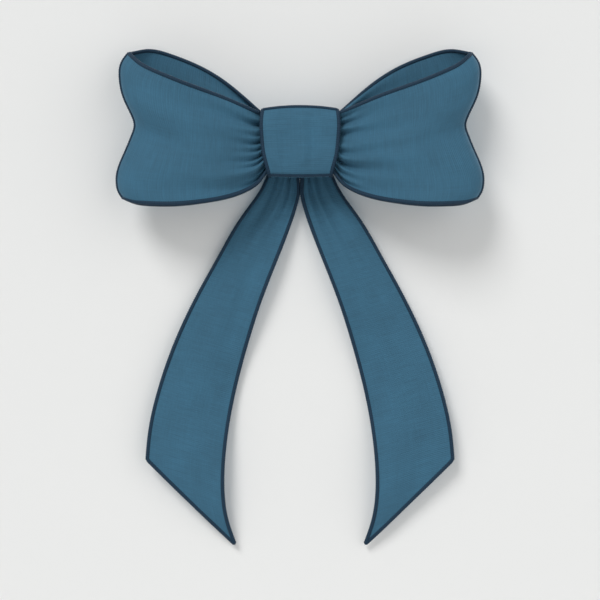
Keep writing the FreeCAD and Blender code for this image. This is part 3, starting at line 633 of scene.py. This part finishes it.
def make_loop(side, seed):
    """A loop ribbon with its edgings, edge wires and the pintuck on its outer fold."""
    name = "right" if side > 0 else "left"
    grid, coords = loop_grid(side, seed)
    ribbon = dress(shell(f"{name}_loop_ribbon", grid, coords), cloth)
    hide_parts(f"{name}_loop")
    loop_bend(ribbon)
    made = []
    inside = slice(6, -6)                       # the wires end short of the edging's ends
    for label, column in (("upper", -1), ("lower", 0)):
        centre, outward, normal = edge_frames(grid, column)
        hem = sweep(f"{name}_loop_{label}_overlock", centre, outward, normal, HEM_WIDE, HEM_THICK)
        dress(hem, thread)
        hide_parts(f"{name}_loop_{label}_edging")
        wire = wire_sweep(f"{name}_loop_{label}_edge_wire", centre[inside], outward[inside], normal[inside])
        dress(wire, steel)
        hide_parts(f"{name}_loop_{label}_wire")
        made += [hem, wire]
    bead = fold_pintuck(name, grid)
    dress(bead, thread)
    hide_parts(f"{name}_loop_fold_stitching")
    made.append(bead)
    for piece in made:
        loop_bend(piece)


# ---------------------------------------------------------------- tails
def tail_bend(obj):
    """Bake a tail piece's placement into its mesh."""
    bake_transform(obj)


def make_tail(side, seed):
    """A tail ribbon with its edging, carried round the slanting end, and its edge wires."""
    name = "right" if side > 0 else "left"
    grid, coords = tail_grid(side, seed)
    ribbon = dress(shell(f"{name}_tail_ribbon", grid, coords), cloth)
    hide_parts(f"{name}_tail")
    tail_bend(ribbon)
    inner, inner_out, inner_n = edge_frames(grid, 0)
    outer, outer_out, outer_n = edge_frames(grid, -1)
    cut = grid[-1, 1:-1]
    cut_out = unit(cut - grid[-2, 1:-1])
    cut_n = normals_of(grid)[-1, 1:-1]
    centre = np.concatenate([inner[:-1], cut - cut_out * EDGE_INSET, outer[:-1][::-1]])
    outward = np.concatenate([inner_out[:-1], cut_out, outer_out[:-1][::-1]])
    normals = np.concatenate([inner_n[:-1], cut_n, outer_n[:-1][::-1]])
    hem = sweep(f"{name}_tail_overlock", centre, outward, normals, HEM_WIDE, HEM_THICK)
    dress(hem, thread)
    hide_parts(f"{name}_tail_edging")
    made = [hem]
    inside = slice(8, -8)                       # the wires end short of the edging's ends
    edges = {"inner": (inner, inner_out, inner_n), "outer": (outer, outer_out, outer_n)}
    for label, (path, out, normal) in edges.items():
        wire = wire_sweep(f"{name}_tail_{label}_edge_wire", path[inside], out[inside], normal[inside])
        dress(wire, steel)
        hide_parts(f"{name}_tail_{label}_wire")
        made.append(wire)
    for piece in made:
        tail_bend(piece)


# ---------------------------------------------------------------- centre band
def band_pintuck(grid, label, lean):
    """The stitched tuck along a front fold of the band.  A greater lean puts it further forward."""
    column = grid.shape[1] // 2
    middle = grid[:, column]
    height = middle[:, 2] * (1 if label == "upper" else -1)
    front = middle[:, 1] < HINGE_Y
    row = int(np.argmax(np.where(front, height - middle[:, 1] * lean, -1e9)))
    outward = normals_of(grid, closed=True)[row]
    if np.dot(outward[column], middle[row] - [0, HINGE_Y, 0]) < 0:
        outward = -outward
    keep = slice(1, -1)
    along = (grid[row] + outward * 0.55)[keep]
    sideways = unit(np.gradient(grid, axis=0)[row])[keep]
    tuck = sweep(f"band_{label}_fold_pintuck", along, sideways, outward[keep], *BAND_TUCK)
    dress(tuck, thread)
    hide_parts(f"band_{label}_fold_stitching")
    return tuck


def make_band():
    """The centre band with its edgings, edge wires and pintucks."""
    grid, coords = band_grid()
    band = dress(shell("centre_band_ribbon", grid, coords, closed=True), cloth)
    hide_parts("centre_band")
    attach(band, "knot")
    wrapped = np.concatenate([grid, grid[:1]])
    made = []
    for label, column in (("left", 0), ("right", -1)):
        centre, outward, normal = edge_frames(wrapped, column)
        hem = sweep(f"band_{label}_overlock", centre, outward, normal, HEM_WIDE, HEM_THICK, closed=True)
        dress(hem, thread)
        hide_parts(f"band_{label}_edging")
        wire = wire_sweep(f"band_{label}_edge_wire", centre, outward, normal, closed=True)
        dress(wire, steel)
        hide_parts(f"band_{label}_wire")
        made += [hem, wire]
    for label, lean in (("upper", 0.45), ("lower", 0.22)):
        made.append(band_pintuck(grid, label, lean))
    for piece in made:
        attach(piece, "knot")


# ---------------------------------------------------------------- hidden gathers and binding
def make_waist(half_length=14, pleats=11, seed=4, rows=48, cols=96):
    """The gathered waist inside the band: a pleated roll of ribbon lying along X."""
    half_y = curve([(-20, 4.0), (-10, 5.6), (0, 5.2), (10, 5.6), (20, 4.0)])
    half_z = curve([(-20, 13.0), (-10, 17.0), (0, 16.2), (10, 17.0), (20, 13.0)])
    rng = np.random.default_rng(seed)
    turn = circle(cols)[None, :]
    x = np.linspace(-half_length, half_length, rows)[:, None]
    swell = 1 + 0.05 * np.sin(pleats * turn + rng.uniform(0, 6)) + 0.02 * np.sin(pleats * 2.3 * turn)
    y = HINGE_Y + half_y(x) * np.sign(np.cos(turn)) * np.abs(np.cos(turn)) ** 0.8 * swell
    z = half_z(x) * np.sin(turn) * swell
    verts = np.stack(np.broadcast_arrays(x, y, z), axis=-1).reshape(-1, 3)
    index = np.arange(rows * cols).reshape(rows, cols)
    coords = np.stack(np.broadcast_arrays(x, turn * 15, 0.0), axis=-1).reshape(-1, 3)
    waist = new_mesh("waist_gathers", verts, ring_quads(index) + end_caps(index), coords)
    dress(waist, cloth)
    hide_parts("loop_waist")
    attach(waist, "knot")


def make_binding(turns=4, half_length=1.5, half_y=5.9, half_z=16.9, wire=0.8):
    """The binding wire, wound a few turns round the waist."""
    angle = np.linspace(0, 2 * math.pi * turns, 90 * turns)
    along = np.linspace(-half_length, half_length, len(angle))
    path = np.stack([along, HINGE_Y + half_y * np.cos(angle), half_z * np.sin(angle)], axis=1)
    out = np.stack([0 * angle, np.cos(angle), np.sin(angle)], axis=1)
    side = np.tile([1.0, 0, 0], (len(angle), 1))
    coil = sweep("binding_wire_coil", path, out, side, wire, wire, sides=8, stitch=0)
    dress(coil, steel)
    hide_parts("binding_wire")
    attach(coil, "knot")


# ---------------------------------------------------------------- back: patch, pad, liner, stitches
# Round a disc's edge from its back face to its front: share of its radius, share of its depth.
DISC_PROFILE = [(0.5, 0.0), (0.9, 0.0), (0.985, 0.12), (1.0, 0.5), (0.985, 0.88), (0.9, 1.0), (0.5, 1.0)]


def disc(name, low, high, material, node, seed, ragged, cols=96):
    """A soft flat disc or oval with rounded edges, lying against the XZ plane."""
    rng = np.random.default_rng(seed)
    cx, cz = (low[0] + high[0]) / 2, (low[2] + high[2]) / 2
    rx, rz = (high[0] - low[0]) / 2, (high[2] - low[2]) / 2
    thick = high[1] - low[1]
    turn = circle(cols)
    edge = sum(rng.uniform(-1, 1) * np.sin(k * turn + rng.uniform(0, 6)) for k in (3, 5, 8, 13))
    edge = edge * ragged / 2
    rings = []
    for r, t in DISC_PROFILE:
        grow = r + (edge / rx if r > 0.9 else 0)
        rings.append(np.stack([cx + rx * grow * np.cos(turn), np.full(cols, high[1] - thick * t),
                               cz + rz * grow * np.sin(turn)], axis=1))
    verts = np.concatenate(rings + [[[cx, high[1], cz]], [[cx, low[1], cz]]])
    index = np.arange(len(rings) * cols).reshape(-1, cols)
    faces = ring_quads(index)
    for i in range(cols):
        j = (i + 1) % cols
        faces.append([index.size, j, i])
        faces.append([index.size + 1, index[-1, i], index[-1, j]])
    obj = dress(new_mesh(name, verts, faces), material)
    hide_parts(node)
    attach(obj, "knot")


def stitches(name, paths, wide=0.5, sides=6, rings=7):
    """One piece of short rounded stitches.  Each path is three points: in, over, out."""
    verts, faces, coords = [], [], []
    t = np.linspace(0, 1, rings)[:, None]
    taper = np.sqrt(np.clip(1 - (2 * t[:, 0] - 1) ** 4, 0.06, 1)) * wide / 2
    turn = circle(sides)
    for number, path in enumerate(paths):
        a, b, c = (np.array(p, float) for p in path)
        centre = a * (1 - t) ** 2 + b * 2 * t * (1 - t) + c * t ** 2
        tangent = unit(np.gradient(centre, axis=0))
        u = unit(np.cross(tangent, np.cross(b - a, c - a) + 1e-6))
        v = np.cross(tangent, u)
        ring = (centre[:, None] + u[:, None] * (np.cos(turn) * taper[:, None])[..., None]
                + v[:, None] * (np.sin(turn) * taper[:, None])[..., None])
        index = (number * rings * sides + np.arange(rings * sides)).reshape(rings, sides)
        verts.append(ring.reshape(-1, 3))
        faces += ring_quads(index) + end_caps(index)
        coords.append(np.stack(np.broadcast_arrays(turn[None, :], t * 2.0, 0.0), axis=-1).reshape(-1, 3))
    obj = new_mesh(name, np.concatenate(verts), faces, np.concatenate(coords))
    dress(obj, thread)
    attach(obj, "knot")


def whip_stitches(count=44):
    """Hand stitches over the rim of the felt patch."""
    rng = np.random.default_rng(8)
    rx, rz = (patch_high[0] - patch_low[0]) / 2, (patch_high[2] - patch_low[2]) / 2

    def rim(angle, out, y):
        return ((rx + out) * math.cos(angle), y, (rz + out) * math.sin(angle))
    paths = []
    for k in range(count):
        a = 2 * math.pi * (k + rng.uniform(-0.12, 0.12)) / count
        lean = 0.05 + rng.uniform(-0.015, 0.015)
        bite = 1.15 + rng.uniform(-0.2, 0.2)
        paths.append((rim(a - lean, -bite, patch_high[1] - 0.05), rim(a, 0.9, patch_high[1] - 0.3),
                      rim(a + lean, -0.3, patch_low[1] - 0.15)))
    stitches("patch_whip_stitches", paths)


def band_seam(count=13, spacing=3, reach=0.95):
    """The row of stitches that closes the band's overlap, high on its back."""
    rng = np.random.default_rng(9)
    grid, _ = band_grid()
    middle = grid[:, grid.shape[1] // 2]
    seam_height = KNOT_HALF - 3.8
    off = np.where(middle[:, 1] > HINGE_Y, np.abs(middle[:, 2] - seam_height), 1e9)
    x, y, z = grid[int(np.argmin(off))].T
    paths = []
    for k in range(count):
        at = spacing * (k - count // 2) + rng.uniform(-0.2, 0.2)
        drop = rng.uniform(-0.15, 0.15)
        face, level = np.interp(at, x, y) + THICK / 2, np.interp(at, x, z)
        paths.append(((at - reach, face - 0.25, level + drop), (at, face + 0.65, level),
                      (at + reach, face - 0.25, level - drop)))
    stitches("band_seam_stitches", paths, wide=0.55)


def release_liner(thick=0.14, tab_reach=5.6, tab_half=0.30, tab_curl=-0.10, count=240):
    """Thin paper over the adhesive, with a tab to pull it off by.

    tab_half is an angle, tab_curl a slope.
    """
    radius = (pad_high[0] - pad_low[0]) / 2 + 0.3
    lean = math.radians(-52)
    outer = []
    for k in range(count):
        a = 2 * math.pi * k / count
        off = math.atan2(math.sin(a - lean), math.cos(a - lean))
        tab = (tab_reach * math.sqrt(max(0.0, 1 - (off / tab_half) ** 2))
               * (1 - step(tab_half - 0.04, tab_half, abs(off))))
        outer.append((radius + tab, a))
    rings = [0.35, 0.7, 0.93, 1.0]
    grid = np.array([[(r * f * math.cos(a), 0.0, r * f * math.sin(a)) for r, a in outer] for f in rings])
    lift = np.maximum(np.hypot(grid[..., 0], grid[..., 2]) - radius, 0) * tab_curl
    sheets = []
    for face in (0.0, -thick):
        layer = grid.copy()
        layer[..., 1] = face + lift
        sheets.append(np.concatenate([[[0, face, 0]], layer.reshape(-1, 3)]))
    n, m = len(rings), len(outer)
    sheet_size = 1 + n * m
    faces = []
    for flip, base in ((False, 0), (True, sheet_size)):
        for i in range(m):
            j = (i + 1) % m
            fan = [base, base + 1 + j, base + 1 + i]
            faces.append(fan[::-1] if flip else fan)
            for k in range(n - 1):
                near = base + 1 + k * m
                far = near + m
                quad = [near + i, near + j, far + j, far + i]
                faces.append(quad[::-1] if flip else quad)
    for i in range(m):
        j = (i + 1) % m
        a, b = 1 + (n - 1) * m + i, 1 + (n - 1) * m + j
        faces.append([a, b, b + sheet_size, a + sheet_size])
    obj = new_mesh("adhesive_release_liner", np.concatenate(sheets), faces, smooth=False)
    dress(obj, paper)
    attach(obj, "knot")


def tail_gathers(rows=40, cols=40):
    """The tails' gathered middle, behind the band and in front of the patch."""
    t = np.linspace(0, 1, rows)[:, None]
    w = np.linspace(-1, 1, cols)[None, :]
    foot = patch_low[2] + 2
    z = foot + (fold_high[2] - foot) * t
    half = curve([(0, 15), (0.35, 13.5), (0.7, 11), (1, 8)])
    x = half(t) * w * (1 - 0.35 * step(0.8, 1, t) * np.abs(w))
    y = fold_low[1] + 0.9 + 0.4 * np.sin(2 * math.pi * 3.1 * w + 0.8) * (1 - 0.5 * t)
    grid = np.stack(np.broadcast_arrays(x, y, z), axis=-1)
    coords = np.stack(np.broadcast_arrays(z, x), axis=-1)
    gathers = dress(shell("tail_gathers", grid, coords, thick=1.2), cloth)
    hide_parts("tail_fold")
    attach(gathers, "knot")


RIGHT, LEFT = 1, -1
for side, seed in ((RIGHT, 11), (LEFT, 23)):
    make_loop(side, seed)
for side, seed in ((RIGHT, 31), (LEFT, 47)):
    make_tail(side, seed)
make_band()
make_waist()
make_binding()
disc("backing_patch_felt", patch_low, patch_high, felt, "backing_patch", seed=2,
     ragged=0.15)
pad_face = np.array([pad_high[0], pad_high[1] - 0.15, pad_high[2]])     # leaves room for the liner
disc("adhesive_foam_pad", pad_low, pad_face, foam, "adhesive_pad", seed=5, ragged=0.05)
release_liner()
whip_stitches()
band_seam()
tail_gathers()


# ---------------------------------------------------------------- stage, lights and camera, in metres
PALE = (0.80, 0.80, 0.79)
STAGE_HALF = 4
WALL_Y = 0.0004
FLOOR_Z = -0.46


def stage_material(name, colour):
    """A matt surface that is seen only from the front, so that the bow's back can be looked at."""
    mat = bpy.data.materials.new(name)
    mat.use_nodes = True
    tree = mat.node_tree
    shader = tree.nodes["Principled BSDF"]
    shader.inputs["Base Color"].default_value = (*colour, 1)
    shader.inputs["Roughness"].default_value = 0.9
    shader.inputs["Specular IOR Level"].default_value = 0.1
    back = tree.nodes.new("ShaderNodeNewGeometry")
    clear = tree.nodes.new("ShaderNodeBsdfTransparent")
    mix = tree.nodes.new("ShaderNodeMixShader")
    tree.links.new(back.outputs["Backfacing"], mix.inputs[0])
    tree.links.new(shader.outputs[0], mix.inputs[1])
    tree.links.new(clear.outputs[0], mix.inputs[2])
    tree.links.new(mix.outputs[0], tree.nodes["Material Output"].inputs[0])
    return mat


def plane(name, corners, material):
    """One flat face of the stage."""
    mesh = bpy.data.meshes.new(name)
    mesh.from_pydata(corners, [], [(0, 1, 2, 3)])
    mesh.update()
    obj = bpy.data.objects.new(name, mesh)
    bpy.context.scene.collection.objects.link(obj)
    mesh.materials.append(material)
    return obj


def soft_light(name, source, spread, strength):
    """A wide, even light from the direction of source, spread over so many degrees."""
    data = bpy.data.lights.new(name, "SUN")
    data.angle = math.radians(spread)
    data.energy = strength
    obj = bpy.data.objects.new(name, data)
    obj.rotation_euler = (-Vector(source)).to_track_quat("-Z", "Y").to_euler()
    bpy.context.scene.collection.objects.link(obj)


wall = plane("wall", [(-STAGE_HALF, WALL_Y, FLOOR_Z), (STAGE_HALF, WALL_Y, FLOOR_Z),
                      (STAGE_HALF, WALL_Y, STAGE_HALF), (-STAGE_HALF, WALL_Y, STAGE_HALF)],
             stage_material("pale_wall", PALE))
wall.visible_diffuse = False
wall.visible_shadow = False
plane("floor", [(-STAGE_HALF, -STAGE_HALF, FLOOR_Z), (STAGE_HALF, -STAGE_HALF, FLOOR_Z),
                (STAGE_HALF, STAGE_HALF, FLOOR_Z), (-STAGE_HALF, STAGE_HALF, FLOOR_Z)],
      stage_material("pale_floor", PALE))

soft_light("key", (-0.9, -1.4, 1.5), spread=26, strength=1.75)
soft_light("fill", (1.5, -1.3, 0.3), spread=60, strength=0.70)
soft_light("back_fill", (0.8, 1.6, 0.7), spread=40, strength=1.6)

# The world lights the bow softly, and looks pale where the camera or a reflection sees it.
world = bpy.data.worlds.new("studio")
bpy.context.scene.world = world
world.use_nodes = True
sky = world.node_tree
ambient = sky.nodes["Background"]
ambient.inputs[0].default_value = (0.96, 0.98, 1.0, 1)
ambient.inputs[1].default_value = 0.40
backdrop = add(sky, "ShaderNodeBackground", Color=(0.82, 0.82, 0.81, 1), Strength=1.0)
path = sky.nodes.new("ShaderNodeLightPath")
seen = math_node(sky, "MAXIMUM", path.outputs["Is Camera Ray"], path.outputs["Is Glossy Ray"])
seen = math_node(sky, "MAXIMUM", seen, path.outputs["Is Transmission Ray"])
mix = sky.nodes.new("ShaderNodeMixShader")
sky.links.new(seen, mix.inputs[0])
sky.links.new(ambient.outputs[0], mix.inputs[1])
sky.links.new(backdrop.outputs[0], mix.inputs[2])
sky.links.new(mix.outputs[0], sky.nodes["World Output"].inputs[0])

LENS = 85
SENSOR = 36
BOW_SHARE = 0.84                                # share of the picture's height that the bow takes
camera = bpy.data.objects.new("camera", bpy.data.cameras.new("camera"))
bpy.context.scene.collection.objects.link(camera)
bpy.context.scene.camera = camera
camera.data.lens = LENS
camera.data.sensor_width = SENSOR
middle = (cad_low + cad_high) / 2
height = (cad_high.z - cad_low.z) / BOW_SHARE
distance = height / 2 / math.tan(math.atan(SENSOR / 2 / LENS))
camera.location = (0, middle.y - distance, middle.z)
camera.rotation_euler = (math.radians(90), 0, 0)
bpy.context.scene.view_settings.view_transform = "Standard"
